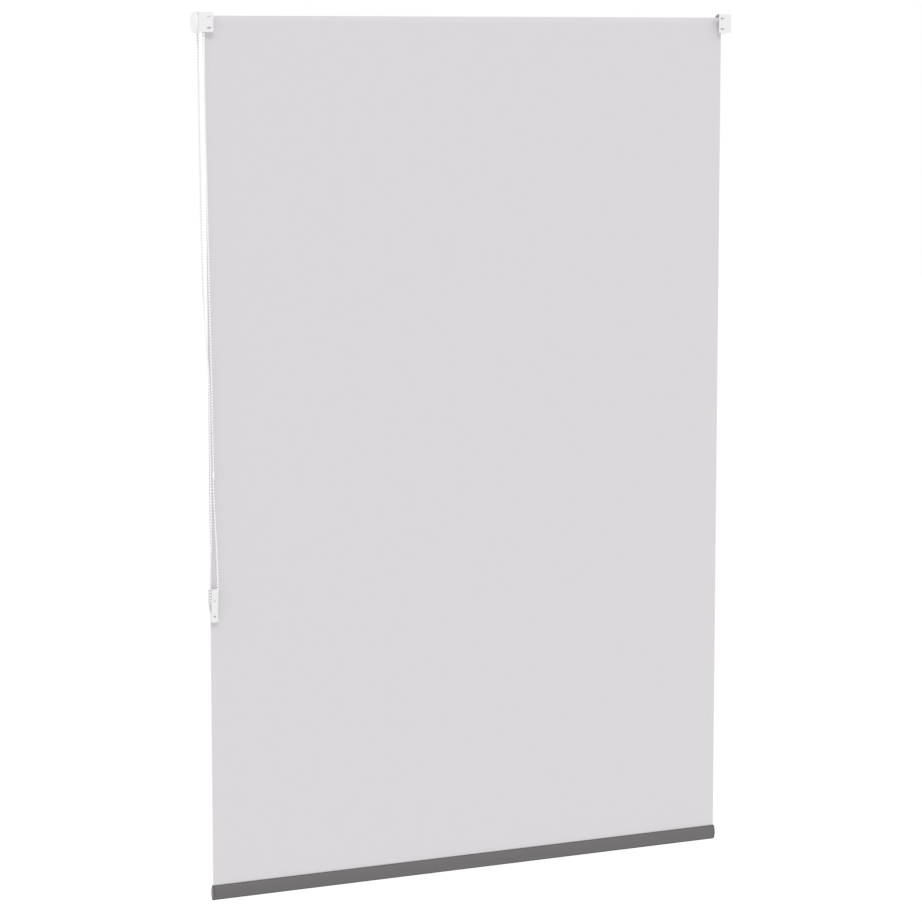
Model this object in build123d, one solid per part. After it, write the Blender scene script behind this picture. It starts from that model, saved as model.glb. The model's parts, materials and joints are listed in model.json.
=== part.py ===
from build123d import *
from math import cos, pi, radians, sin, sqrt, tan
import os

# Roller blind: chain-operated tube, fabric, bottom bar, wall brackets and chain tensioner.
# Millimetres. X runs along the tube, away from the chain end. Y runs from the wall into the room. Z is up.
# The origin is on the wall, midway between the brackets, at the height of the tube's axis.

past = 1.0                  # how far a cutting shape runs past the face that it cuts

# Fabric
fabric_width = 1166.0
fabric_drop = 1750.0        # tube axis to the top of the bottom bar
fabric_thickness = 0.4
fabric_in_slot = 3.6        # how far the sheet goes down into the bar's slot

# Tube
wall_gap = 28.5             # wall to tube axis
tube_radius = 12.5
tube_wall = 1.2
key_width = 2.0             # two ribs inside the tube, which turn the plugs
key_height = 1.2
tube_cord_radius = 0.9      # the cord that locks the fabric in the tube's groove
tube_cord_groove = 1.3
tube_groove_mouth = 1.0
tube_groove_wall = 0.8
tube_groove_angle = 40.0    # from the room side, upwards
tube_groove_out = 0.4       # how far the groove's middle stands out past a full wall
cord_end_gap = 1.0          # tube cord and bar spline end this far inside their channels

# Brackets
side_gap = 17.0             # fabric edge to the outer face of a bracket
steel = 1.5
bracket_height = 39.5
flange_width = 29.7
bend_radius = 2.2
flange_corner = 1.5
slot_length = 9.0
slot_width = 3.8
slot_spacing = 22.4
slot_inboard = 4.0          # fabric edge to the middle of a slot

# Round covers over the brackets
cover_radius = 21.5
cover_wall = 1.5
cover_face = 2.0
cover_depth = 17.5
cover_round = 3.0

# Chain and chain wheel
bead_diameter = 4.5
bead_pitch = 6.0
wheel_beads = 17
chain_inset = 4.6           # fabric edge to the middle of the chain wheel, outwards
cord_gap = 0.3              # clear space round the chain in the wheels
wheel_width = 7.8
wheel_cheek = 1.57          # how far the cheeks stand out past the pitch circle
guard_plate = 1.5
guard_wall = 0.9
guard_gap = 0.42            # beads to the guard
sleeve_root = 1.0           # how far the wheel's sleeve starts inside the wheel
mouth_top = -4.0            # the chain's mouth in guard and cover is below this height
connector_length = 14.0
connector_radius = 2.9

# Clutch inside the tube
hub_radius = 5.0
hub_flange_radius = 9.0
hub_flange = 2.0
spigot = 9.8                # square end of the hub, through guard and bracket
core_length = 34.5
core_bore = 8.4
core_end_wall = 2.5
sleeve_outer = 8.1
sleeve_inner = 6.9
window_angle = 42.0         # opening in the wheel's sleeve for the core's rib
rib_angle = 36.0
rib_clear = 0.2             # core's rib to the wheel's sleeve
rib_root = 0.3              # how far a rib runs into the wall that carries it
key_bite = 1.0              # how far a plug's key groove runs past the plug's surface
bearing_gap = 0.08          # radial clearance of every turning fit
loose_gap = 0.3
plug_gap = 0.1              # plugs in the tube
spring_wire = 1.1
spring_pitch = 1.5
spring_turns = 7
spring_start = 2.0          # fabric edge to the first wrap spring
spring_apart = 3.0          # space between the two springs, in wires
retainer_thickness = 2.0
retainer_gap = 0.2
screw_radius = 1.25
screw_head_radius = 2.6
screw_head = 1.6
screw_length = 12.0
screw_cross = 0.6           # width of the drive cross
screw_cross_reach = 0.7     # of the head's radius

# Idle end
pin_radius = 3.0
pin_tail_radius = 2.0
pin_shoulder_radius = 4.6
pin_shoulder = 2.4
pin_shoulder_gap = 0.4
pin_chamfer = 0.6
pin_reach = 2.6             # how far the pin sits in the bush
pin_travel = 8.0
bush_radius = 5.0
bush_flange_radius = 8.0
bush_flange = 1.5
idle_flange = 2.5
idle_flange_rise = 0.68     # how far the flange stands out past the wound fabric
idle_plug_length = 38.0
idle_guide = 10.0           # length of the plug that guides the pin
idle_cap = 4.0
pin_spring_wire = 0.8
pin_spring_radius = 3.4
pin_spring_turns = 7
pin_spring_gap = 0.1        # clear at each end of the spring

# Bottom bar
bar_height = 30.5
bar_depth = 13.4
bar_tip = 3.2               # width of the narrow flats at top and bottom
bar_tip_inside = 2.0        # the same, of the hollow
bar_edge = 0.6
bar_wall = 1.3
bar_channel = 3.2           # outer radius of the round channel for the spline
bar_hole = 2.2
bar_slot = 1.2
bar_neck_wall = 1.2         # beside the slot
bar_spline_radius = 1.7
channel_down = 5.8          # bar top to the channel's centre
cap_below_channel = 1.0
cap_thickness = 1.8
cap_plug = 12.0
cap_plug_gap = 0.2
cap_round = 0.7

# Tensioner
tensioner_inset = 4.0       # fabric edge to the tensioner's middle, inwards
tensioner_top = -1134.0
tensioner_height = 68.0
tensioner_width = 13.7
tensioner_front_width = 22.0
tensioner_depth = 8.0
tensioner_plate = 1.6
block_height = 18.0
block_neck = 8.0
block_overlap = 2.0         # how far the neck starts inside the block
tensioner_corner = 0.8
front_corner = 2.0
front_bulge = 1.2           # how far the front plate's lower sides bow out
guide_radius = 8.1          # wheel's pitch radius
guide_below_top = 24.0
guide_axle = 2.0
guide_side_gap = 0.3
guide_rim_inset = 1.1       # pitch radius to the wheel's outer radius
guide_face_inset = 0.1      # beads' width to the wheel's faces, on each side
guide_axle_start = 0.2
axle_head_radius = 3.3
axle_head = 0.8
screw_hole = 2.1
screw_hole_up = 12.0

# Chain connector
connector_edge = 0.6
wheel_arc = 0.98            # the chain's arc on a wheel, as a share of the pitch radius
arc_share = 0.45            # of the shorter run, used by an arc between two runs

# Worked out from the values above
half_width = fabric_width / 2
outer = half_width + side_gap
wound_gap = 0.02
wound_inner = tube_radius + wound_gap
wound_outer = wound_inner + fabric_thickness
fabric_y = wall_gap - wound_outer + fabric_thickness / 2
sheet_clear = wall_gap - fabric_y - fabric_thickness / 2 - loose_gap
sheet_top = -sqrt(wound_outer**2 - sheet_clear**2)
bar_middle = -fabric_drop - bar_height / 2
tube_bore = tube_radius - tube_wall
idle_flange_radius = wound_outer + idle_flange_rise
chain_x = -half_width - chain_inset
chain_radius = bead_pitch * wheel_beads / (2 * pi)
cord_radius = bead_diameter / 2
web_inner = outer - steel
tensioner_x = -half_width + tensioner_inset
cord_y = tensioner_plate + guide_side_gap + cord_radius
guide_z = tensioner_top - guide_below_top


def rod(radius, x_from, x_to, y=wall_gap, z=0.0):
    """A cylinder along X, on the tube's axis unless y and z say otherwise."""
    return Pos((x_from + x_to) / 2, y, z) * Rot(0, 90, 0) * Cylinder(radius, abs(x_to - x_from))


def post(radius, y_from, y_to, x, z):
    """A cylinder along Y."""
    return Pos(x, (y_from + y_to) / 2, z) * Rot(90, 0, 0) * Cylinder(radius, y_to - y_from)


def block(x_from, x_to, y_from, y_to, z_from, z_to):
    middle = Pos((x_from + x_to) / 2, (y_from + y_to) / 2, (z_from + z_to) / 2)
    return middle * Box(abs(x_to - x_from), abs(y_to - y_from), abs(z_to - z_from))


def side_plane(x, y=wall_gap, z=0.0):
    """A plane across the tube: its own x is Y, and its own y is Z."""
    return Plane(origin=(x, y, z), x_dir=(0, 1, 0), z_dir=(1, 0, 0))


def other_end(piece):
    """The same piece for the idle end."""
    return mirror(piece, about=Plane.YZ)


def nearest_edge(piece, point):
    """The upright edge nearest to a point."""
    return piece.edges().filter_by(Axis.Z).sort_by(lambda e: (e.center() - Vector(*point)).length)[0]


# Brackets and covers


def bracket():
    """Steel L of the chain end: a wall flange with two slots, and a web with a round end."""
    half = bracket_height / 2
    inboard = -outer + flange_width
    flange = block(-outer, inboard, 0, steel, -half, half)
    web = block(-outer, -web_inner, 0, wall_gap, -half, half)
    plate = flange + web + rod(half, -outer, -web_inner)
    plate = fillet(nearest_edge(plate, (-outer, 0, 0)), bend_radius)
    plate = fillet(nearest_edge(plate, (-web_inner, steel, 0)), bend_radius - steel)
    corners = plate.edges().filter_by(Axis.Y).filter_by(lambda e: e.center().X > inboard - 0.1)
    plate = fillet(corners, flange_corner)
    slot = Rot(90, 0, 0) * extrude(SlotOverall(slot_length, slot_width), 2 * steel, both=True)
    for z in (-slot_spacing / 2, slot_spacing / 2):
        plate -= Pos(-half_width + slot_inboard, 0, z) * slot
    return plate


def left_bracket():
    """The web has a square hole that keeps the clutch hub from turning."""
    side = spigot / 2 + plug_gap
    hole = block(-outer - past, -web_inner + past, wall_gap - side, wall_gap + side, -side, side)
    return bracket() - hole


def right_bracket():
    """The web has a round hole for the bush of the idle pin."""
    return other_end(bracket()) - rod(bush_radius + plug_gap, web_inner - past, outer + past)


def cover():
    """Round plastic cup that hides a bracket's web; its rim is slotted for the web."""
    face = -outer - cover_face
    cup = rod(cover_radius, face, face + cover_depth)
    rim = cup.edges().filter_by(GeomType.CIRCLE).sort_by(Axis.X)[0]
    cup = fillet(rim, cover_round)
    cup -= rod(cover_radius - cover_wall, -outer, face + cover_depth + past)
    tall = bracket_height / 2 + loose_gap
    return cup - block(-outer, -web_inner + loose_gap, 0, wall_gap, -tall, tall)


def chain_mouth():
    """The space below the chain wheel where both strands come out."""
    start = chain_x - cord_radius - 2 * loose_gap
    across = 2 * cover_radius
    return block(start, -half_width + past, wall_gap - across, wall_gap + across, -across, mouth_top)


def chain_guard():
    """Keeps the chain on its wheel: a disc on the bracket with a rim over the top of the wheel."""
    rim_inner = chain_radius + cord_radius + guard_gap
    start = -web_inner
    guard = rod(rim_inner + guard_wall, start, -outer - cover_face + cover_depth)
    guard -= rod(rim_inner, start + guard_plate, -half_width)
    side = spigot / 2 + plug_gap
    guard -= block(start - past, start + guard_plate + past, wall_gap - side, wall_gap + side, -side, side)
    return guard - chain_mouth()


# Clutch

def hub_end():
    return -half_width + core_length


def clutch_hub():
    """Fixed shaft of the clutch: square spigot, flange, and the shaft that the springs grip."""
    flange_start = -web_inner + guard_plate
    half = spigot / 2
    hub = block(-outer, flange_start, wall_gap - half, wall_gap + half, -half, half)
    hub += rod(hub_flange_radius, flange_start, flange_start + hub_flange)
    hub += rod(hub_radius, flange_start, hub_end() + loose_gap)
    return hub - rod(screw_radius, hub_end() - screw_length, hub_end() + past)


def wheel_groove(radius):
    """What a grooved wheel leaves free for the chain, about a wheel's own Z axis."""
    clear = cord_radius + cord_gap
    straight = Cylinder(radius + 2 * clear, 2 * clear) - Cylinder(radius, 2 * clear)
    return Torus(radius, clear) + straight


def chain_wheel():
    """Grooved wheel that the chain turns, with a split sleeve that drives the core."""
    start = chain_x - wheel_width / 2
    end = chain_x + wheel_width / 2
    sleeve_end = hub_end() - core_end_wall - 2 * loose_gap
    wheel = rod(chain_radius + wheel_cheek, start, end)
    wheel += rod(sleeve_outer, end - sleeve_root, sleeve_end)
    wheel -= rod(sleeve_inner, end, sleeve_end + past)
    wheel -= rod(hub_radius + bearing_gap, start - past, end + past)
    wheel -= Pos(chain_x, wall_gap, 0) * Rot(0, 90, 0) * wheel_groove(chain_radius)
    window = (sleeve_inner - past, sleeve_outer + past, end + loose_gap, sleeve_end + past)
    return wheel - wedge(window_angle, *window)


def wedge(angle, r_in, r_out, x_from, x_to):
    """A sector of a ring about the tube's axis, centred on straight up."""
    half = radians(angle / 2)
    far = 2 * r_out
    tip = Polygon((0, 0), (-far * tan(half), far), (far * tan(half), far), align=None)
    ring = Circle(r_out) - Circle(r_in)
    return extrude(side_plane(x_from) * (ring & tip), x_to - x_from)


def key_ribs(clearance, outward):
    """The tube's two ribs, or with a clearance the grooves that they run in."""
    half = key_width / 2 + clearance
    r_in = tube_bore - key_height - clearance
    r_out = tube_bore + outward
    ribs = block(-half_width, half_width, wall_gap - r_out, wall_gap - r_in, -half, half)
    return ribs + block(-half_width, half_width, wall_gap + r_in, wall_gap + r_out, -half, half)


def groove_centre():
    """The middle of the tube's cord groove, as y and z."""
    reach = tube_radius - tube_groove_wall - tube_cord_groove + tube_groove_out
    angle = radians(tube_groove_angle)
    return wall_gap + reach * cos(angle), reach * sin(angle)


def plug_body(x_from, x_to):
    """A round plug that fits in the tube, with grooves for its ribs and its cord channel."""
    y, z = groove_centre()
    plug = rod(tube_bore - plug_gap, x_from, x_to)
    plug -= key_ribs(plug_gap, key_bite)
    return plug - rod(tube_cord_groove + tube_groove_wall + plug_gap, x_from - past, x_to + past, y, z)


def drive_core():
    """Plug that turns the tube; its inner rib sits in the window of the wheel's sleeve."""
    core = plug_body(-half_width, hub_end())
    rib_end = hub_end() - core_end_wall
    core -= rod(core_bore, -half_width - past, rib_end)
    core -= rod(hub_radius + bearing_gap, -half_width, hub_end() + past)
    rib = wedge(rib_angle, sleeve_inner + rib_clear, core_bore + rib_root, -half_width + sleeve_root, rib_end)
    return core + rib


def coil(radius, wire, pitch, turns, x_from):
    """A round-wire spring about the tube's axis."""
    line = Helix(pitch=pitch, height=pitch * turns, radius=radius)
    section = Plane(origin=line @ 0, z_dir=line % 0) * Circle(wire / 2)
    return Pos(x_from, wall_gap, 0) * Rot(0, 90, 0) * sweep(section, path=line, is_frenet=True)


def wrap_spring(number):
    """One of the two springs that grip the hub until the chain moves."""
    length = spring_pitch * spring_turns
    step = length + spring_apart * spring_wire
    start = -half_width + spring_start + spring_wire / 2 + number * step
    return coil(hub_radius + loose_gap + spring_wire / 2, spring_wire, spring_pitch, spring_turns, start)


def clutch_retainer():
    """Washer on the hub's end, which keeps the core and the wheel on the hub."""
    start = hub_end() + loose_gap
    end = start + retainer_thickness
    return rod(core_bore - retainer_gap, start, end) - rod(screw_radius + plug_gap, start - past, end + past)


def clutch_screw():
    """Self-tapping screw through the washer into the hub."""
    seat = hub_end() + loose_gap + retainer_thickness
    screw = rod(screw_radius, seat - screw_length, seat) + rod(screw_head_radius, seat, seat + screw_head)
    bottom = seat + screw_head / 2
    top = seat + screw_head + past
    reach = screw_head_radius * screw_cross_reach
    half = screw_cross / 2
    cross = block(bottom, top, wall_gap - reach, wall_gap + reach, -half, half)
    cross += block(bottom, top, wall_gap - half, wall_gap + half, -reach, reach)
    return screw - cross


# Tube and fabric

def roller_tube():
    """Aluminium tube with two inner ribs and an outer groove that holds the fabric's edge."""
    y, z = groove_centre()
    tube = rod(tube_radius, -half_width, half_width)
    tube -= rod(tube_bore, -half_width - past, half_width + past)
    ribs = key_ribs(0.0, rib_root)
    boss = rod(tube_cord_groove + tube_groove_wall, -half_width, half_width, y, z)
    inside = rod(tube_radius, -half_width, half_width)
    tube += (ribs + boss) & inside
    tube -= rod(tube_cord_groove, -half_width - past, half_width + past, y, z)
    mouth = Pos(0, wall_gap, 0) * Rot(tube_groove_angle, 0, 0) * Pos(0, tube_radius, 0)
    return tube - mouth * Box(fabric_width + 2 * past, 2 * (tube_groove_wall + past), tube_groove_mouth)


def tube_cord():
    """Plastic cord in the tube's groove."""
    y, z = groove_centre()
    return rod(tube_cord_radius, -half_width + cord_end_gap, half_width - cord_end_gap, y, z)


def wound_fabric():
    """The turn of fabric that stays on the tube when the blind is down."""
    bore = rod(wound_inner, -half_width - past, half_width + past)
    return rod(wound_outer, -half_width, half_width) - bore


def fabric_sheet():
    """The hanging fabric, from the wall side of the roll into the bar's slot."""
    half = fabric_thickness / 2
    return block(-half_width, half_width, fabric_y - half, fabric_y + half,
                 -fabric_drop - fabric_in_slot, sheet_top)


# Idle end

def pin_stop():
    """Where the pin's shoulder stops inside the plug."""
    return half_width + idle_flange - idle_guide


def idle_plug():
    """Plug of the idle end: flange, guide for the pin, and a cavity for its spring."""
    start = half_width - idle_plug_length
    plug = plug_body(start, half_width)
    plug += rod(idle_flange_radius, half_width, half_width + idle_flange)
    plug -= rod(pin_shoulder_radius + pin_shoulder_gap, start - past, pin_stop())
    return plug - rod(pin_radius + bearing_gap, start, half_width + idle_flange + past)


def idle_plug_stopper():
    """Stopper that closes the spring cavity."""
    start = half_width - idle_plug_length
    return rod(pin_shoulder_radius + pin_shoulder_gap, start, start + idle_cap)


def idle_pin():
    """Sprung steel pin; pushed in to lift the tube out of its brackets."""
    tip = web_inner - bush_flange + pin_reach
    shoulder_start = pin_stop() - pin_shoulder
    pin = rod(pin_radius, shoulder_start, tip)
    pin = chamfer(pin.edges().sort_by(Axis.X)[-1], pin_chamfer)
    pin += rod(pin_shoulder_radius, shoulder_start, pin_stop())
    return pin + rod(pin_tail_radius, shoulder_start - pin_travel, shoulder_start)


def pin_spring():
    """Compression spring behind the pin's shoulder."""
    end_gap = pin_spring_wire / 2 + pin_spring_gap
    start = half_width - idle_plug_length + idle_cap + end_gap
    end = pin_stop() - pin_shoulder - end_gap
    pitch = (end - start) / pin_spring_turns
    return coil(pin_spring_radius, pin_spring_wire, pitch, pin_spring_turns, start)


def idle_bush():
    """Flanged plastic bush in the right bracket, in which the pin turns."""
    start = web_inner - bush_flange
    bush = rod(bush_flange_radius, start, web_inner) + rod(bush_radius, start, outer)
    return bush - rod(pin_radius + bearing_gap, start - past, outer + past)


# Bottom bar

def lens(height, depth, tip):
    """Pointed oval with narrow flats at top and bottom."""
    half = height / 2
    side = depth / 2
    point = tip / 2
    wall_side = ThreePointArc((-point, -half), (-side, 0), (-point, half))
    top = Line((-point, half), (point, half))
    room_side = ThreePointArc((point, half), (side, 0), (point, -half))
    bottom = Line((point, -half), (-point, -half))
    return make_face(Curve() + [wall_side, top, room_side, bottom])


def bar_prism(face, x_from, x_to):
    return extrude(side_plane(x_from, fabric_y, bar_middle) * face, x_to - x_from)


def bar_inside(gap=0.0):
    """The bar's hollow; a gap makes it smaller all round."""
    less = 2 * (bar_wall + gap)
    return lens(bar_height - less, bar_depth - less, bar_tip_inside)


def bar_profile():
    """Extruded oval bar with a round channel that holds the fabric and its spline."""
    channel = bar_height / 2 - channel_down
    shell = lens(bar_height, bar_depth, bar_tip)
    shell = fillet(shell.vertices(), bar_edge)
    neck_middle = channel + channel_down / 2
    neck = Pos(0, neck_middle) * Rectangle(bar_slot + 2 * bar_neck_wall, channel_down)
    section = shell - bar_inside() + ((Pos(0, channel) * Circle(bar_channel) + neck) & shell)
    section -= Pos(0, channel) * Circle(bar_hole)
    section -= Pos(0, neck_middle + past / 2) * Rectangle(bar_slot, channel_down + past)
    return bar_prism(section, -half_width, half_width)


def bar_cap():
    """Left end cap: an oval plate with a plug in the bar's hollow, below the channel."""
    plate = bar_prism(lens(bar_height, bar_depth, bar_tip), -half_width - cap_thickness, -half_width)
    edges = plate.faces().sort_by(Axis.X)[0].edges()
    plate = fillet(edges, cap_round)
    below = bar_height / 2 - channel_down - bar_channel - cap_below_channel
    lower = Pos(0, below - bar_height / 2) * Rectangle(bar_depth, bar_height)
    plug = bar_inside(cap_plug_gap) & lower
    return plate + bar_prism(plug, -half_width, -half_width + cap_plug)


def bar_spline():
    """Plastic rod that locks the fabric in the bar."""
    end = half_width - cord_end_gap
    return rod(bar_spline_radius, -end, end, fabric_y, -fabric_drop - channel_down)


# Tensioner

def tensioner_body():
    """Wall plate with a thick lower block for the fixing screw."""
    half = tensioner_width / 2
    bottom = tensioner_top - tensioner_height
    block_top = bottom + block_height
    body = block(tensioner_x - half, tensioner_x + half, 0, tensioner_plate, bottom, tensioner_top)
    body = fillet(body.edges().filter_by(Axis.Y), tensioner_corner)
    foot = block(tensioner_x - half, tensioner_x + half, 0, tensioner_depth, bottom, block_top)
    body += fillet(foot.edges().filter_by(Axis.Y), tensioner_corner)
    body += block(tensioner_x - half / 2, tensioner_x + half / 2, 0, tensioner_depth - tensioner_plate,
                  block_top - block_overlap, block_top + block_neck)
    body -= post(screw_hole, -past, tensioner_depth + past, tensioner_x, bottom + screw_hole_up)
    return body - post(guide_axle + plug_gap / 2, -past, tensioner_depth, tensioner_x, guide_z)


def tensioner_front():
    """Round-shouldered room-side plate that keeps the chain on the guide wheel."""
    half = tensioner_front_width / 2
    foot = tensioner_width / 2
    bottom = tensioner_top - tensioner_height + block_height
    shoulder = guide_z
    middle = (shoulder + bottom) / 2
    bulge = (half + foot) / 2 + front_bulge
    outline = Curve() + [
        Line((-half, tensioner_top), (half, tensioner_top)),
        Line((half, tensioner_top), (half, shoulder)),
        ThreePointArc((half, shoulder), (bulge, middle), (foot, bottom)),
        Line((foot, bottom), (-foot, bottom)),
        ThreePointArc((-foot, bottom), (-bulge, middle), (-half, shoulder)),
        Line((-half, shoulder), (-half, tensioner_top)),
    ]
    start = tensioner_depth - tensioner_plate
    place = Plane(origin=(tensioner_x, tensioner_depth, 0), x_dir=(1, 0, 0), z_dir=(0, -1, 0))
    plate = extrude(place * make_face(outline), tensioner_plate)
    corners = plate.edges().filter_by(Axis.Y).filter_by(lambda e: e.center().Z > tensioner_top - past)
    plate = fillet(corners, front_corner)
    end = tensioner_depth + past
    plate -= post(axle_head_radius + plug_gap, tensioner_depth - axle_head, end, tensioner_x, guide_z)
    return plate - post(guide_axle + plug_gap / 2, start - past, end, tensioner_x, guide_z)


def tensioner_axle():
    """Headed pin through both plates and the guide wheel."""
    axle = post(guide_axle, guide_axle_start, tensioner_depth, tensioner_x, guide_z)
    head_start = tensioner_depth - axle_head
    return axle + post(axle_head_radius, head_start, tensioner_depth, tensioner_x, guide_z)


def guide_wheel():
    """Small wheel with a hollow rim, which the chain runs round."""
    half = cord_radius - guide_face_inset
    wheel = post(guide_radius - guide_rim_inset, cord_y - half, cord_y + half, tensioner_x, guide_z)
    middle = Pos(tensioner_x, cord_y, guide_z) * Rot(90, 0, 0)
    groove = middle * Torus(guide_radius, cord_radius + cord_gap)
    return wheel - groove - post(guide_axle + bearing_gap, 0, tensioner_depth, tensioner_x, guide_z)


# Chain

connector_middle = (-577.8, 4.9, -902.0)

# From the connector up the wall-side strand, over the chain wheel, down the room-side strand, round the
# guide wheel, and back up to the connector. It hangs slack: the strands come together below the middle.
chain_route = [
    (-577.8, 4.9, -895.0),
    (-577.8, 4.9, -862.0),
    (-578.7, 5.2, -800.0),
    (-579.4, 5.4, -700.0),
    (-581.2, 5.6, -600.0),
    (-584.9, 6.0, -352.0),
    (-587.6, 6.2, -175.0),
    (-587.6, 12.27, -30.0),
    (-587.6, 12.27, 9.37),
    (-587.6, 28.5, 18.74),
    (-587.6, 44.73, 9.37),
    (-587.6, 44.73, -30.0),
    (-587.7, 37.9, -352.0),
    (-587.7, 28.0, -554.0),
    (-587.7, 12.0, -635.0),
    (-587.5, 6.0, -668.0),
    (-584.5, 5.5, -712.0),
    (-584.0, 5.2, -800.0),
    (-583.6, 4.9, -919.0),
    (-583.8, 4.6, -1020.0),
    (-585.4, 4.3, -1066.0),
    (-587.1, 4.15, -1108.0),
    (-587.1, 4.15, -1162.68),
    (-579.0, 4.15, -1167.35),
    (-570.9, 4.15, -1162.68),
    (-570.9, 4.15, -1108.0),
    (-572.0, 4.3, -1066.0),
    (-574.6, 4.6, -1010.0),
    (-576.6, 4.8, -968.0),
    (-577.8, 4.9, -940.0),
    (-577.8, 4.9, -909.0),
]
wheel_points = {8: chain_radius, 9: chain_radius, 10: chain_radius}
guide_points = {22: guide_radius, 23: guide_radius, 24: guide_radius}


def bend_radii(points, wheels):
    """The radius of the arc at each point but the two ends: a wheel's own, or as large as the runs allow."""
    radii = []
    for i in range(1, len(points) - 1):
        before = Vector(*points[i]) - Vector(*points[i - 1])
        after = Vector(*points[i + 1]) - Vector(*points[i])
        turn = radians(before.get_angle(after))
        largest = arc_share * min(before.length, after.length) / tan(turn / 2)
        radii.append(wheels[i] * wheel_arc if i in wheels else largest)
    return radii


def bead_chain():
    """The chain as one tube of the beads' diameter, from one end of its connector round to the other."""
    radii = bend_radii(chain_route, {**wheel_points, **guide_points})
    line = FilletPolyline(*chain_route, radius=radii)
    tube = sweep(Plane(origin=line @ 0, z_dir=line % 0) * Circle(cord_radius), path=line)
    print("chain bend radii", [round(r, 1) for r in radii])
    print("chain length", round(line.length, 1), "volume", round(tube.volume, 1),
          "section times length", round(pi * cord_radius**2 * line.length, 1))
    return tube


def chain_connector():
    """Plastic barrel that joins the chain's two end beads."""
    x, y, z = connector_middle
    barrel = Pos(x, y, z) * Cylinder(connector_radius, connector_length)
    ends = barrel.edges().filter_by(GeomType.CIRCLE)
    return fillet(ends, connector_edge)


nodes = {
    "left_bracket": left_bracket,
    "right_bracket": right_bracket,
    "left_cover": lambda: cover() - chain_mouth(),
    "right_cover": lambda: other_end(cover()),
    "chain_guard": chain_guard,
    "clutch_hub": clutch_hub,
    "clutch_retainer": clutch_retainer,
    "clutch_screw": clutch_screw,
    "chain_wheel": chain_wheel,
    "drive_core": drive_core,
    "wrap_spring_outer": lambda: wrap_spring(0),
    "wrap_spring_inner": lambda: wrap_spring(1),
    "roller_tube": roller_tube,
    "tube_cord": tube_cord,
    "wound_fabric": wound_fabric,
    "fabric_sheet": fabric_sheet,
    "idle_plug": idle_plug,
    "idle_plug_stopper": idle_plug_stopper,
    "idle_pin": idle_pin,
    "pin_spring": pin_spring,
    "idle_bush": idle_bush,
    "bottom_bar": bar_profile,
    "bar_cap_left": bar_cap,
    "bar_cap_right": lambda: other_end(bar_cap()),
    "bar_spline": bar_spline,
    "tensioner_body": tensioner_body,
    "tensioner_front": tensioner_front,
    "tensioner_axle": tensioner_axle,
    "guide_wheel": guide_wheel,
    "bead_chain": bead_chain,
    "chain_connector": chain_connector,
}

os.makedirs("parts", exist_ok=True)
for name, make in nodes.items():
    export_step(make(), f"parts/{name}.step")
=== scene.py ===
import json
import math

import bpy
import numpy as np
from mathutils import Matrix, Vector


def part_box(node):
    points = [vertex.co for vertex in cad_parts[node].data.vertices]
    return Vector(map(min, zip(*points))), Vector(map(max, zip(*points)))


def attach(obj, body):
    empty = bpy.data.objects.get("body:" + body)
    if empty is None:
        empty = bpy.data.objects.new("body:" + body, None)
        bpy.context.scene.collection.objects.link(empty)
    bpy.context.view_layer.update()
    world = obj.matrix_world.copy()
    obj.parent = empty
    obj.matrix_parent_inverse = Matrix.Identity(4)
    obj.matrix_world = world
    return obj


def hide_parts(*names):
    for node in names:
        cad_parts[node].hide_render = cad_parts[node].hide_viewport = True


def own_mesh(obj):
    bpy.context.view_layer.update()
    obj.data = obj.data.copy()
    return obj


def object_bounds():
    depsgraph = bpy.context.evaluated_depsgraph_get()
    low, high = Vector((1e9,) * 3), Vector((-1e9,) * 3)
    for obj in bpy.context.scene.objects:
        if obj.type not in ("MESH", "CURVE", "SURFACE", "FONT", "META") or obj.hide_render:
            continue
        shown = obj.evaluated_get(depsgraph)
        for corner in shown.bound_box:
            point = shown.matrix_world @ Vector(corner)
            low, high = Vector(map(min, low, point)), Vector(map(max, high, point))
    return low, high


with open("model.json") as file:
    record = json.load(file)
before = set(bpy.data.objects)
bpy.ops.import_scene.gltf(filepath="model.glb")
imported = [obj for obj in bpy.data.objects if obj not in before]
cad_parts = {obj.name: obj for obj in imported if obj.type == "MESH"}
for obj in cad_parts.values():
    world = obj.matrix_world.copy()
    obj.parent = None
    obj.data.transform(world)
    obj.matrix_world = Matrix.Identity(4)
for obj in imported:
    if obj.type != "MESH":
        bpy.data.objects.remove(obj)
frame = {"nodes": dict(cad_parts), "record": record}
cad_low, cad_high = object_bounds()

# Everything is in metres: X along the tube, Y from the wall into the room, Z up.
MM = 0.001
CREASE_ANGLE = 40.0         # degrees; sharper edges stay crisp under smooth shading

# Camera: seen from the wall side, left of the blind and level with its tube
CAMERA_PLACE = (-2.617, -5.661, -0.043)
CAMERA_YAW = 24.53          # degrees, towards +X
CAMERA_PITCH = 6.83         # degrees, downwards
CAMERA_LENS = 117.9         # mm on a 36 mm sensor
CAMERA_SHIFT = -0.06

# Stage
FLOOR_BELOW = 1.5           # below the bottom bar
FLOOR_SIZE = 60.0
FLOOR_TONE = 0.91
FLOOR_ROUGHNESS = 0.9
SKY_STRENGTH = 1.0
SUN_STRENGTH = 0.75
SUN_SOFTNESS = 18.0         # degrees
SUN_FROM = (-0.22, -0.75, 0.62)

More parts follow.
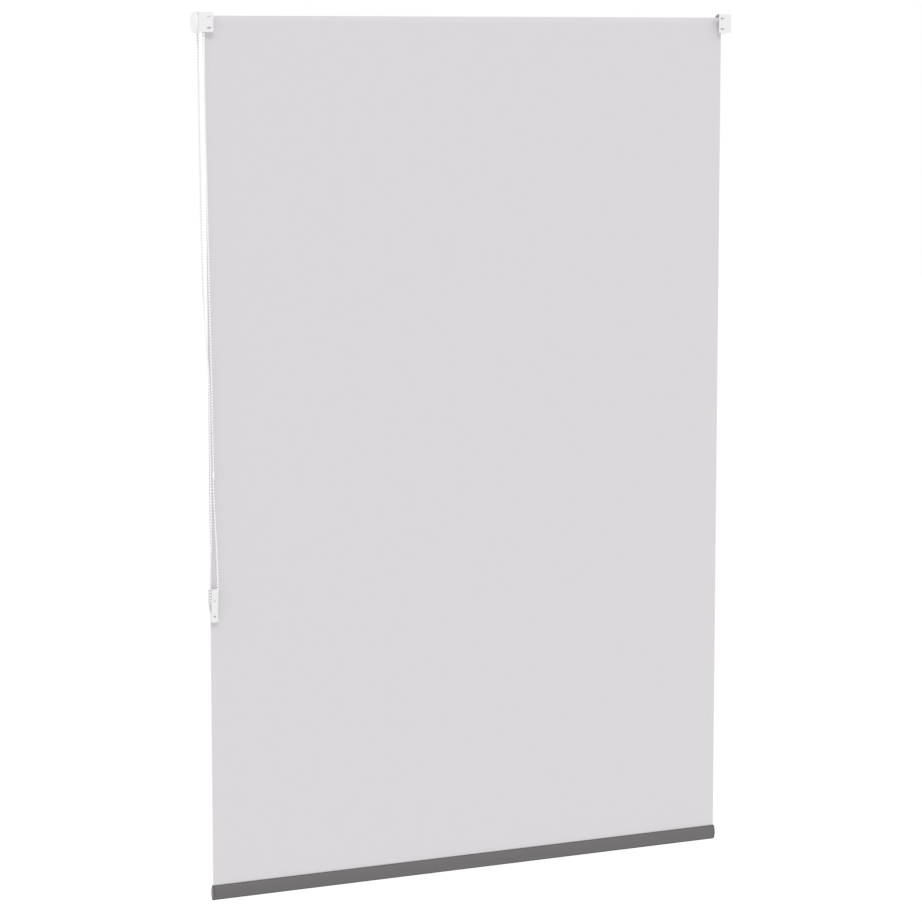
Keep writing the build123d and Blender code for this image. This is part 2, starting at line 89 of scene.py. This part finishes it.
# Fabric
CLOTH = 0.4 * MM
THREAD = 0.55 * MM          # pitch of the weave
SHEET_COLUMNS = 60
SHEET_ROWS = 120
RIPPLE = 0.16 * MM          # how far the hanging sheet bows out of its plane
EDGE_CURL = 0.35 * MM
EDGE_WIDTH = 25 * MM
SEAT_LENGTH = 60 * MM       # at the roll and at the bar the sheet is held flat
RIPPLE_WAVES = [            # share, radians per metre across and up, phase
    (1.0, 7.3, 1.9, 0.0),
    (0.6, 3.1, -4.7, 0.8),
]
CURL_MEAN = 0.7
CURL_SWING = 0.3
CURL_WAVE = 5.3             # radians per metre along the edge
CURL_PHASE = 0.9            # radians, of the +X edge against the other one
ROLL_STEPS = 96
GROOVE_ANGLE = 40.0         # of the tube's groove, from the room side upwards
GROOVE_MOUTH = 1.0 * MM
TUCK_DEPTH = 1.5 * MM       # how deep the fabric's end goes into the groove

# Bottom bar: painted shade along its top and bottom edges, and a painted shadow in the gap at each
# cap; how far each dark line reaches, and the share of the colour left in it
BAR_TOP_LINE = 2.2 * MM
BAR_TOP_SHADE = 0.62
BAR_BOTTOM_LINE = 4.5 * MM
BAR_BOTTOM_SHADE = 0.55
CAP_GAP_LINE = 1.1 * MM
CAP_GAP_SHADE = 0.05

# Chain
BEAD_RADIUS = 2.25 * MM
BEAD_PITCH = 6.0 * MM
BEAD_RINGS = 8
BEAD_SIDES = 16
BEAD_COLLAR = 0.90 * MM     # radius of a bead's flat ends round the string
PARTING_LINE = 0.035 * MM
STRING_RADIUS = 0.75 * MM
STRING_SIDES = 8
STRING_STEP = 1.5 * MM
CURVE_STEPS = 32            # of the centreline, between two points of the route

# From the connector up the wall-side strand, over the chain wheel, down the room-side strand,
# round the guide wheel of the tensioner, and back up to the connector
CHAIN_ROUTE = [
    (-0.5778, 0.0049, -0.895),
    (-0.5778, 0.0049, -0.862),
    (-0.5787, 0.0052, -0.800),
    (-0.5794, 0.0054, -0.700),
    (-0.5812, 0.0056, -0.600),
    (-0.5849, 0.0060, -0.352),
    (-0.5876, 0.0062, -0.175),
    (-0.5876, 0.01227, -0.030),
    (-0.5876, 0.01227, 0.00937),
    (-0.5876, 0.0285, 0.01874),
    (-0.5876, 0.04473, 0.00937),
    (-0.5876, 0.04473, -0.030),
    (-0.5877, 0.0379, -0.352),
    (-0.5877, 0.0280, -0.554),
    (-0.5877, 0.0120, -0.635),
    (-0.5875, 0.0060, -0.668),
    (-0.5845, 0.0055, -0.712),
    (-0.5840, 0.0052, -0.800),
    (-0.5836, 0.0049, -0.919),
    (-0.5838, 0.0046, -1.020),
    (-0.5854, 0.0043, -1.066),
    (-0.5871, 0.00415, -1.108),
    (-0.5871, 0.00415, -1.16268),
    (-0.5790, 0.00415, -1.16735),
    (-0.5709, 0.00415, -1.16268),
    (-0.5709, 0.00415, -1.108),
    (-0.5720, 0.0043, -1.066),
    (-0.5746, 0.0046, -1.010),
    (-0.5766, 0.0048, -0.968),
    (-0.5778, 0.0049, -0.940),
    (-0.5778, 0.0049, -0.909),
]

# Chain connector
CONNECTOR_SIDES = 40
CONNECTOR_ROUNDING = 0.12 * MM
CONNECTOR_RIM = 0.5 * MM    # depth of the waists and of the slope at each end
END_BAND = 2.2 * MM
MIDDLE_BAND = 1.6 * MM      # half of its length
WAIST_TAPER = 0.6 * MM
BORE_GAP = 0.5 * MM         # between the string and the bore, and again at the bore's mouth
MOUTH_DEPTH = 0.2 * MM
SEAM = 0.25 * MM

# Idle pin's spring
SPRING_WIRE = 0.8 * MM
SPRING_TURNS = 9
SPRING_STEPS = 32
SPRING_SIDES = 10

# Tones, as linear light
WHITE_COAT = (0.718, 0.708, 0.718)
WHITE_PLASTIC = (0.82, 0.81, 0.82)
TENSIONER_WHITE = (0.70, 0.69, 0.70)
WHITE_GLOSS = (0.81, 0.80, 0.815)
GREY_PLASTIC = (0.56, 0.56, 0.56)
CLOTH_TONE = (0.594, 0.575, 0.594)
BAR_TONE = (0.141, 0.134, 0.138)
SPRING_STEEL = (0.52, 0.52, 0.54)
PIN_STEEL = (0.62, 0.62, 0.63)
ALUMINIUM = (0.74, 0.75, 0.76)

# The middle of a noise texture's range, spread over a material's tones or gloss
TINT_RANGE = (0.32, 0.68)
GLOSS_RANGE = (0.3, 0.7)

# Finishes
CROWN_SHARE = 0.4           # how much the crossings of the weave stand out
SLUB_STRETCH = (0.12, 1.0, 1.0)  # slubs are long across the sheet
STRAND_SCALE = 600.0        # of the wave texture that draws the string's strands
STRAND_WAVER = 0.6
METAL_LINE = 0.3 * MM       # width of the lines in drawn metal
METAL_DEPTH = 0.004 * MM
ALONG_TUBE = (0.004, 1.0, 1.0)  # lines that run along the tube
ROUND_TUBE = (1.0, 0.05, 0.05)  # lines that run round it


# Camera and stage


def camera():
    data = bpy.data.cameras.new("camera")
    data.lens = CAMERA_LENS
    data.shift_y = CAMERA_SHIFT
    data.clip_end = 2 * FLOOR_SIZE
    eye = bpy.data.objects.new("camera", data)
    eye.location = CAMERA_PLACE
    eye.rotation_euler = (math.radians(90 - CAMERA_PITCH), 0, -math.radians(CAMERA_YAW))
    bpy.context.scene.collection.objects.link(eye)
    bpy.context.scene.camera = eye


def light():
    """Even white surroundings, and one large soft lamp from above, behind the camera."""
    scene = bpy.context.scene
    scene.view_settings.view_transform = "Standard"
    world = bpy.data.worlds.new("studio")
    world.use_nodes = True
    sky = world.node_tree.nodes["Background"]
    sky.inputs["Color"].default_value = (1.0, 1.0, 1.0, 1.0)
    sky.inputs["Strength"].default_value = SKY_STRENGTH
    scene.world = world
    sun = bpy.data.lights.new("key", "SUN")
    sun.energy = SUN_STRENGTH
    sun.angle = math.radians(SUN_SOFTNESS)
    lamp = bpy.data.objects.new("key", sun)
    lamp.rotation_euler = Vector(SUN_FROM).to_track_quat("Z", "Y").to_euler()
    scene.collection.objects.link(lamp)


def floor():
    level = cad_low.z - FLOOR_BELOW
    half = FLOOR_SIZE / 2
    corners = [(-half, -half, level), (half, -half, level), (half, half, level), (-half, half, level)]
    piece = new_piece("floor", corners, [(0, 1, 2, 3)])
    paint = new_material("floor_paint", (FLOOR_TONE,) * 3, FLOOR_ROUGHNESS)
    piece.data.materials.append(paint)


# Mesh helpers


def new_piece(name, points, faces, smooth=False):
    mesh = bpy.data.meshes.new(name)
    mesh.from_pydata([tuple(p) for p in points], [], faces)
    if smooth:
        mesh.shade_smooth()
    piece = bpy.data.objects.new(name, mesh)
    bpy.context.scene.collection.objects.link(piece)
    return piece


def ring_faces(rings, sides, closed=False):
    """Quads between rings of points that follow each other in one list."""
    faces = []
    for i in range(rings if closed else rings - 1):
        a, b = i * sides, (i + 1) % rings * sides
        for j in range(sides):
            k = (j + 1) % sides
            faces.append((a + j, a + k, b + k, b + j))
    return faces


def map_cloth(piece, u_of, v_of):
    """A UV map in metres along the cloth, which its weave follows."""
    layer = piece.data.uv_layers.new(name="cloth")
    for loop in piece.data.loops:
        i = loop.vertex_index
        layer.data[loop.index].uv = (u_of[i], v_of[i])


def slab_faces(rows, columns):
    """Faces of a sheet with a thickness: two layers of quads and the rim between them."""
    layer = rows * columns
    faces = []
    for i in range(rows - 1):
        for j in range(columns - 1):
            a = i * columns + j
            quad = (a, a + 1, a + columns + 1, a + columns)
            faces.append(quad)
            faces.append(tuple(layer + k for k in reversed(quad)))
    bottom = list(range(columns))
    right = [i * columns + columns - 1 for i in range(rows)]
    top = [(rows - 1) * columns + j for j in reversed(range(columns))]
    left = [i * columns for i in reversed(range(rows))]
    for border in (bottom, right, top, left):
        for a, b in zip(border, border[1:]):
            faces.append((b, a, layer + a, layer + b))
    return faces


def sharpen(piece):
    """Cut edges, of the cloth and of the spring's wire, stay crisp under smooth shading."""
    piece.data.set_sharp_from_angle(angle=math.radians(CREASE_ANGLE))


# Lines of points, and round shapes about them


def steps_of(line):
    return np.linalg.norm(np.diff(line, axis=0), axis=1)


def length_of(line):
    return float(steps_of(line).sum())


def along(line, distances):
    """Points at these distances along a line of points."""
    gone = np.concatenate([[0], np.cumsum(steps_of(line))])
    return np.stack([np.interp(distances, gone, line[:, axis]) for axis in range(3)], axis=1)


def cross_frames(points):
    """At each point of a line, its direction and two directions across it that don't twist."""
    ahead = np.gradient(points, axis=0)
    ahead /= np.linalg.norm(ahead, axis=1)[:, None]
    side = np.cross(ahead[0], (1.0, 0.0, 0.0))
    frames = []
    for direction in ahead:
        side = side - direction * side.dot(direction)
        side /= np.linalg.norm(side)
        frames.append((direction, side, np.cross(direction, side)))
    return frames


def turned(centre, axes, outline, sides):
    """Rings of points about an axis, one for each (along, out) of the outline."""
    direction, side, up = axes
    points = []
    for forward, out in outline:
        for j in range(sides):
            angle = 2 * math.pi * j / sides
            across = math.cos(angle) * side + math.sin(angle) * up
            points.append(centre + direction * forward + across * out)
    return points


def round_bar(line, radius, sides):
    """Points and faces of a closed round bar along a line of points."""
    points = []
    for middle, axes in zip(line, cross_frames(line)):
        points += turned(middle, axes, [(0.0, radius)], sides)
    faces = ring_faces(len(line), sides)
    faces.append(tuple(reversed(range(sides))))
    faces.append(tuple(range(len(points) - sides, len(points))))
    return points, faces


# Materials


def new_material(name, colour, roughness, metallic=0.0, **constants):
    """A Principled material; what is the same all over is set on the shader itself."""
    material = bpy.data.materials.new(name)
    material.use_nodes = True
    shader = material.node_tree.nodes["Principled BSDF"]
    shader.inputs["Base Color"].default_value = (*colour, 1.0)
    shader.inputs["Roughness"].default_value = roughness
    shader.inputs["Metallic"].default_value = metallic
    for socket, value in constants.items():
        shader.inputs[socket.replace("_", " ")].default_value = value
    return material


def add(material, kind, **settings):
    node = material.node_tree.nodes.new("ShaderNode" + kind)
    for name, value in settings.items():
        setattr(node, name, value)
    return node


def join(material, output, socket):
    material.node_tree.links.new(output, socket)


def stretched(material, vector, scale):
    mapping = add(material, "Mapping")
    mapping.inputs["Scale"].default_value = scale
    join(material, vector, mapping.inputs["Vector"])
    return mapping.outputs["Vector"]


def place_on_object(material, stretch=(1.0, 1.0, 1.0)):
    """The point's place in metres, multiplied by stretch along each axis."""
    place = add(material, "TexCoord")
    return stretched(material, place.outputs["Object"], stretch)


def noise(material, size, detail=2.0, stretch=(1.0, 1.0, 1.0), place=None):
    """Noise of a given size, in metres or in the unit of place."""
    texture = add(material, "TexNoise")
    texture.inputs["Scale"].default_value = 1 / size
    texture.inputs["Detail"].default_value = detail
    join(material, place or place_on_object(material, stretch), texture.inputs["Vector"])
    return texture.outputs["Fac"]


def tint(material, factor, dark, bright):
    """Base colour between two tones of the material's own colour."""
    shader = material.node_tree.nodes["Principled BSDF"]
    colour = Vector(shader.inputs["Base Color"].default_value[:3])
    ramp = add(material, "ValToRGB")
    for element, position, tone in zip(ramp.color_ramp.elements, TINT_RANGE, (dark, bright)):
        element.position = position
        element.color = (*(colour * tone), 1.0)
    join(material, factor, ramp.inputs["Fac"])
    join(material, ramp.outputs["Color"], shader.inputs["Base Color"])


def gloss(material, factor, low, high):
    """Roughness that varies between two values."""
    shader = material.node_tree.nodes["Principled BSDF"]
    spread = add(material, "MapRange")
    spread.inputs["From Min"].default_value, spread.inputs["From Max"].default_value = GLOSS_RANGE
    spread.inputs["To Min"].default_value = low
    spread.inputs["To Max"].default_value = high
    join(material, factor, spread.inputs["Value"])
    join(material, spread.outputs["Result"], shader.inputs["Roughness"])


def relief(material, height, depth, under=None):
    """Bump of a given depth in metres, on top of another one."""
    shader = material.node_tree.nodes["Principled BSDF"]
    bump = add(material, "Bump")
    bump.inputs["Distance"].default_value = depth
    join(material, height, bump.inputs["Height"])
    if under:
        join(material, under, bump.inputs["Normal"])
    join(material, bump.outputs["Normal"], shader.inputs["Normal"])
    return bump.outputs["Normal"]


def math_node(material, operation, a, b=None):
    node = add(material, "Math", operation=operation)
    for socket, value in zip(node.inputs, (a, b)):
        if value is None:
            continue
        if isinstance(value, (int, float)):
            socket.default_value = value
        else:
            join(material, value, socket)
    return node.outputs["Value"]


def weave(material):
    """Plain weave, threads over and under each other: its height, and the place in threads."""
    place = add(material, "UVMap", uv_map="cloth")
    threads = stretched(material, place.outputs["UV"], (1 / THREAD, 1 / THREAD, 1.0))
    axes = add(material, "SeparateXYZ")
    join(material, threads, axes.inputs["Vector"])
    rounds = []
    for axis in ("X", "Y"):
        turn = math_node(material, "MULTIPLY", axes.outputs[axis], math.pi)
        rounds.append(math_node(material, "ABSOLUTE", math_node(material, "SINE", turn)))
    warp, weft = rounds
    over = add(material, "TexChecker")
    over.inputs["Scale"].default_value = 1.0
    join(material, threads, over.inputs["Vector"])
    crossings = math_node(material, "MULTIPLY", warp, weft)
    crowns = math_node(material, "MULTIPLY", crossings, CROWN_SHARE)
    pick = add(material, "Mix", data_type="FLOAT")
    join(material, over.outputs["Fac"], pick.inputs[0])
    join(material, warp, pick.inputs[2])
    join(material, weft, pick.inputs[3])
    return math_node(material, "ADD", pick.outputs[0], crowns), threads


def fabric_cloth():
    """Coated light grey plain weave, with slightly uneven threads."""
    material = new_material("fabric_cloth", CLOTH_TONE, roughness=0.85, Sheen_Weight=0.12,
                            Sheen_Roughness=0.45, Specular_IOR_Level=0.25)
    height, threads = weave(material)
    slubs = noise(material, 9.0, detail=3.0, place=stretched(material, threads, SLUB_STRETCH))
    tint(material, slubs, dark=0.994, bright=1.006)
    gloss(material, noise(material, 1.4, detail=2.0, place=threads), low=0.78, high=0.92)
    unevenness = noise(material, 30 * MM, detail=2.0)
    woven = relief(material, height, depth=0.035 * MM)
    relief(material, unevenness, depth=0.05 * MM, under=woven)
    return material


def powder_coat():
    """White powder coat with a fine orange peel."""
    material = new_material("powder_coat", WHITE_COAT, roughness=0.42, Specular_IOR_Level=0.4)
    tint(material, noise(material, 14 * MM, detail=3.0), dark=0.985, bright=1.01)
    gloss(material, noise(material, 3 * MM, detail=3.0), low=0.36, high=0.5)
    relief(material, noise(material, 1.1 * MM, detail=1.0), depth=0.012 * MM)
    return material


def moulded(name, colour, low, high, grain=0.35 * MM, depth=0.008 * MM, **constants):
    """Injection-moulded plastic with a fine eroded grain."""
    material = new_material(name, colour, (low + high) / 2, **constants)
    tint(material, noise(material, 11 * MM, detail=2.0), dark=0.985, bright=1.012)
    gloss(material, noise(material, 4 * MM, detail=3.0), low, high)
    relief(material, noise(material, grain, detail=2.0), depth)
    return material


def braided_string():
    """The bead chain's string, with diagonal strands."""
    material = new_material("braided_string", WHITE_PLASTIC, roughness=0.8, Sheen_Weight=0.2)
    strands = add(material, "TexWave", bands_direction="DIAGONAL")
    strands.inputs["Scale"].default_value = STRAND_SCALE
    strands.inputs["Distortion"].default_value = STRAND_WAVER
    join(material, place_on_object(material), strands.inputs["Vector"])
    tint(material, strands.outputs["Fac"], dark=0.95, bright=1.0)
    gloss(material, noise(material, 1 * MM), low=0.7, high=0.9)
    relief(material, strands.outputs["Fac"], depth=0.05 * MM)
    return material


def drawn_metal(name, colour, low, high, stretch, metallic=1.0, **constants):
    """Metal with fine lines along one axis, as drawing, turning or extruding leaves them."""
    material = new_material(name, colour, (low + high) / 2, metallic, **constants)
    lines = noise(material, METAL_LINE, detail=4.0, stretch=stretch)
    streaks = noise(material, 4 * METAL_LINE, detail=3.0, stretch=stretch)
    tint(material, streaks, dark=0.96, bright=1.03)
    gloss(material, lines, low, high)
    relief(material, lines, METAL_DEPTH)
    return material


def painted_shade_near(material, axis, places, reach, tone):
    """Painted shade: down to tone, a share of the colour, at some places along one axis and back
    within reach.
    """
    shader = material.node_tree.nodes["Principled BSDF"]
    axes = add(material, "SeparateXYZ")
    join(material, place_on_object(material), axes.inputs["Vector"])
    for place in places:
        past = math_node(material, "SUBTRACT", axes.outputs[axis], place)
        off = math_node(material, "ABSOLUTE", past)
        fade = add(material, "MapRange", interpolation_type="SMOOTHSTEP")
        fade.inputs["From Max"].default_value = reach
        fade.inputs["To Min"].default_value = tone
        join(material, off, fade.inputs["Value"])
        darken = add(material, "VectorMath", operation="SCALE")
        join(material, shader.inputs["Base Color"].links[0].from_socket, darken.inputs["Vector"])
        join(material, fade.outputs["Result"], darken.inputs["Scale"])
        join(material, darken.outputs["Vector"], shader.inputs["Base Color"])


def bar_painted_shade(material):
    """Painted shade: darker lines along the bar's top and bottom edges, and a near-black painted
    shadow in the gap between the bar and each cap.
    """
    low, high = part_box("bottom_bar")
    # Painted shade along the bar's top and bottom edges
    painted_shade_near(material, "Z", [high.z], BAR_TOP_LINE, BAR_TOP_SHADE)
    painted_shade_near(material, "Z", [low.z], BAR_BOTTOM_LINE, BAR_BOTTOM_SHADE)
    # Near-black painted shadow in the gap where each cap meets the bar
    painted_shade_near(material, "X", [low.x, high.x], CAP_GAP_LINE, CAP_GAP_SHADE)
    return material


def materials():
    """One finish for each material slot of the record."""
    return {
        "bracket_steel": powder_coat(),
        "cover_plastic": moulded("cover_plastic", WHITE_PLASTIC, 0.34, 0.48),
        "chain_plastic": moulded("bead_plastic", WHITE_GLOSS, 0.2, 0.34, depth=0.003 * MM),
        "connector_plastic": moulded("connector_plastic", WHITE_GLOSS, 0.14, 0.26,
                                     depth=0.002 * MM),
        "mechanism_plastic": moulded("acetal", GREY_PLASTIC, 0.38, 0.52),
        "spring_steel": drawn_metal("spring_wire", SPRING_STEEL, 0.24, 0.4, ROUND_TUBE),
        "tube_aluminium": drawn_metal("tube_aluminium", ALUMINIUM, 0.28, 0.42, ALONG_TUBE),
        "fabric": fabric_cloth(),
        # The bar's metal and its caps' plastic get painted shade along their edges and a painted
        # shadow at the gaps between them
        "bar_aluminium": bar_painted_shade(drawn_metal("bar_anodised", BAR_TONE, 0.42, 0.55, ALONG_TUBE,
                                                metallic=0.35, Specular_IOR_Level=0.3)),
        "bar_plastic": bar_painted_shade(moulded("bar_plastic", BAR_TONE, 0.42, 0.56, grain=0.5 * MM,
                                          depth=0.012 * MM)),
        "pin_steel": drawn_metal("turned_steel", PIN_STEEL, 0.2, 0.34, ROUND_TUBE),
    }


def paint_cad(paints):
    """Each CAD node gets the finish of its slot, and the tensioner's shells a duller white."""
    tensioner = moulded("tensioner_plastic", TENSIONER_WHITE, 0.34, 0.48)
    for part in frame["record"]["subparts"]:
        node = frame["nodes"][part["node"]]
        for slot in node.material_slots:
            slot.material = paints[part["material_slot"]]
            if part["node"] in ("tensioner_body", "tensioner_front"):
                slot.material = tensioner


# Chain


def chain_line():
    """The chain's centreline, read from a smooth spline along the route."""
    curve = bpy.data.curves.new("chain_line", "CURVE")
    curve.dimensions = "3D"
    curve.resolution_u = CURVE_STEPS
    spline = curve.splines.new("NURBS")
    spline.points.add(len(CHAIN_ROUTE) - 1)
    for point, place in zip(spline.points, CHAIN_ROUTE):
        point.co = (*place, 1.0)
    spline.order_u = 3
    spline.use_endpoint_u = True
    carrier = bpy.data.objects.new("chain_line", curve)
    mesh = bpy.data.meshes.new_from_object(carrier)
    line = np.array([v.co for v in mesh.vertices])
    bpy.data.meshes.remove(mesh)
    bpy.data.objects.remove(carrier)
    bpy.data.curves.remove(curve)
    return line


def bead_outline():
    """A bead from end to end, as (along, out): a ball with flat collars and a fine parting line."""
    start = math.asin(BEAD_COLLAR / BEAD_RADIUS)
    outline = []
    for i in range(BEAD_RINGS + 1):
        angle = start + (math.pi - 2 * start) * i / BEAD_RINGS
        ridge = PARTING_LINE if 2 * i == BEAD_RINGS else 0
        outline.append((-BEAD_RADIUS * math.cos(angle), BEAD_RADIUS * math.sin(angle) + ridge))
    return outline


def bead_chain(paints):
    """Moulded beads on a braided string, from one end of the connector round to the other."""
    line = chain_line()
    long = length_of(line)
    count = round(long / BEAD_PITCH)
    middles = along(line, (np.arange(count) + 0.5) * long / count)
    outline = bead_outline()
    points, faces = [], []
    for middle, axes in zip(middles, cross_frames(middles)):
        first = len(points)
        points += turned(middle, axes, outline, BEAD_SIDES)
        faces += [tuple(first + i for i in face) for face in ring_faces(len(outline), BEAD_SIDES)]
        last = first + BEAD_RINGS * BEAD_SIDES
        faces.append(tuple(reversed(range(first, first + BEAD_SIDES))))
        faces.append(tuple(range(last, last + BEAD_SIDES)))
    beads = len(faces)
    string = along(line, np.linspace(0, long, round(long / STRING_STEP)))
    string_points, string_faces = round_bar(string, STRING_RADIUS, STRING_SIDES)
    faces += [tuple(len(points) + i for i in face) for face in string_faces]
    points += string_points
    chain = new_piece("bead_string", points, faces, smooth=True)
    chain.data.materials.append(paints["chain_plastic"])
    chain.data.materials.append(braided_string())
    for polygon in chain.data.polygons[beads:]:
        polygon.material_index = 1
    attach(chain, "root")
    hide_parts("bead_chain")
    return chain, line


def chain_connector(paints):
    """Barrel that joins the chain's ends: a band at each end and in the middle, with a seam."""
    low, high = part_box("chain_connector")
    middle = np.array((low + high) / 2)
    radius = (high.x - low.x) / 2
    half = (high.z - low.z) / 2
    bore = STRING_RADIUS + BORE_GAP
    waist = radius - CONNECTOR_RIM
    upper = [
        (half - END_BAND, bore),
        (half - MOUTH_DEPTH, bore + BORE_GAP),
        (half, waist),
        (half - CONNECTOR_RIM, radius),
        (half - END_BAND, radius),
        (half - END_BAND - WAIST_TAPER, waist),
        (MIDDLE_BAND + WAIST_TAPER, waist),
        (MIDDLE_BAND, radius),
        (SEAM, radius),
        (SEAM / 2, radius - SEAM),
    ]
    outline = upper + [(-z, out) for z, out in reversed(upper)]
    axes = tuple(np.array(axis) for axis in ((0.0, 0.0, 1.0), (1.0, 0.0, 0.0), (0.0, 1.0, 0.0)))
    points = turned(middle, axes, outline, CONNECTOR_SIDES)
    faces = ring_faces(len(outline), CONNECTOR_SIDES, closed=True)
    barrel = new_piece("connector_barrel", points, faces)
    edges = barrel.modifiers.new("rounding", "BEVEL")
    edges.width = CONNECTOR_ROUNDING
    edges.segments = 2
    edges.limit_method = "ANGLE"
    barrel.data.shade_smooth()
    barrel.data.materials.append(paints["connector_plastic"])
    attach(barrel, "root")
    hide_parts("chain_connector")
    return barrel


# Idle pin's spring


def coil_spring(paints):
    """Compression spring with closed ends."""
    low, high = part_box("pin_spring")
    wire = SPRING_WIRE / 2
    radius = (high.z - low.z) / 2 - wire
    start, end = low.x + wire, high.x - wire
    turns = np.linspace(0, SPRING_TURNS, SPRING_TURNS * SPRING_STEPS + 1)
    forward = np.interp(turns, [0, 1, SPRING_TURNS - 1, SPRING_TURNS],
                        [start, start + SPRING_WIRE, end - SPRING_WIRE, end])
    round_y = (low.y + high.y) / 2 + radius * np.cos(2 * math.pi * turns)
    round_z = (low.z + high.z) / 2 + radius * np.sin(2 * math.pi * turns)
    points, faces = round_bar(np.stack([forward, round_y, round_z], axis=1), wire, SPRING_SIDES)
    piece = new_piece("coil_spring", points, faces, smooth=True)
    sharpen(piece)
    piece.data.materials.append(paints["spring_steel"])
    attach(piece, "roller")
    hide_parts("pin_spring")
    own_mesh(piece)


# Fabric


def rise(distance):
    """From 0 where the sheet is held to 1 further off."""
    share = min(max(distance / SEAT_LENGTH, 0.0), 1.0)
    return share * share * (3 - 2 * share)


def sheet_offset(x, z, half, top, bottom):
    """How far the hanging sheet stands off its plane: slow ripples, and a curl at its side edges."""
    free = rise(top - z) * rise(z - bottom)
    ripple = sum(share * math.sin(across * x + up * z + phase)
                 for share, across, up, phase in RIPPLE_WAVES)
    to_edge = (half - abs(x)) / EDGE_WIDTH
    swing = math.sin(CURL_WAVE * z + (CURL_PHASE if x > 0 else 0.0))
    curl = math.exp(-to_edge) * (CURL_MEAN + CURL_SWING * swing)
    return free * (RIPPLE * ripple - EDGE_CURL * curl)


def hanging_fabric(paints):
    """The sheet from where it leaves the roll down into the bar's slot, with cut side edges."""
    low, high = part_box("fabric_sheet")
    middle = (low.y + high.y) / 2
    half = (high.x - low.x) / 2
    top = 0.0
    bottom = low.z
    columns = [half * math.sin(math.pi / 2 * t) for t in np.linspace(-1, 1, SHEET_COLUMNS + 1)]
    rows = np.linspace(bottom, top, SHEET_ROWS + 1)
    points, across, down = [], [], []
    for side in (-1, 1):
        for z in rows:
            for x in columns:
                y = middle + sheet_offset(x, z, half, top, bottom) + side * CLOTH / 2
                points.append((x, y, z))
                across.append(x)
                down.append(z)
    piece = new_piece("hanging_fabric", points, slab_faces(len(rows), len(columns)), smooth=True)
    map_cloth(piece, across, down)
    sharpen(piece)
    piece.data.materials.append(paints["fabric"])
    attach(piece, "root")
    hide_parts("fabric_sheet")
    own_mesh(piece)


def wound_fabric(paints):
    """The turn that stays on the tube: it comes out of the tube's groove and goes once round."""
    low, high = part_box("wound_fabric")
    half = (high.x - low.x) / 2
    centre_y = (low.y + high.y) / 2
    centre_z = (low.z + high.z) / 2
    radius = (high.z - low.z) / 2 - CLOTH / 2
    start = math.radians(GROOVE_ANGLE)
    gap = (GROOVE_MOUTH + CLOTH) / 2 / radius
    round_tube = 2 * math.pi - 2 * gap
    path = [(radius - depth, start) for depth in (TUCK_DEPTH, TUCK_DEPTH / 2, CLOTH / 2)]
    path += [(radius, start + gap + round_tube * i / ROLL_STEPS) for i in range(ROLL_STEPS + 1)]
    line = [(centre_y + r * math.cos(a), centre_z + r * math.sin(a)) for r, a in path]
    columns = np.linspace(-half, half, SHEET_COLUMNS + 1)
    gone = np.concatenate([[0], np.cumsum([math.dist(a, b) for a, b in zip(line, line[1:])])])
    points, across, down = [], [], []
    for side in (-1, 1):
        for i, (y, z) in enumerate(line):
            before, after = line[max(i - 1, 0)], line[min(i + 1, len(line) - 1)]
            step = math.dist(before, after)
            out_y, out_z = (after[1] - before[1]) / step, -(after[0] - before[0]) / step
            for x in columns:
                points.append((x, y + side * out_y * CLOTH / 2, z + side * out_z * CLOTH / 2))
                across.append(x)
                down.append(gone[i])
    piece = new_piece("rolled_fabric", points, slab_faces(len(line), len(columns)), smooth=True)
    map_cloth(piece, across, down)
    sharpen(piece)
    piece.data.materials.append(paints["fabric"])
    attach(piece, "roller")
    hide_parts("wound_fabric")


# Building the scene


camera()
paints = materials()
chain, line = bead_chain(paints)
chain_connector(paints)
light()
floor()
paint_cad(paints)
hanging_fabric(paints)
wound_fabric(paints)
coil_spring(paints)
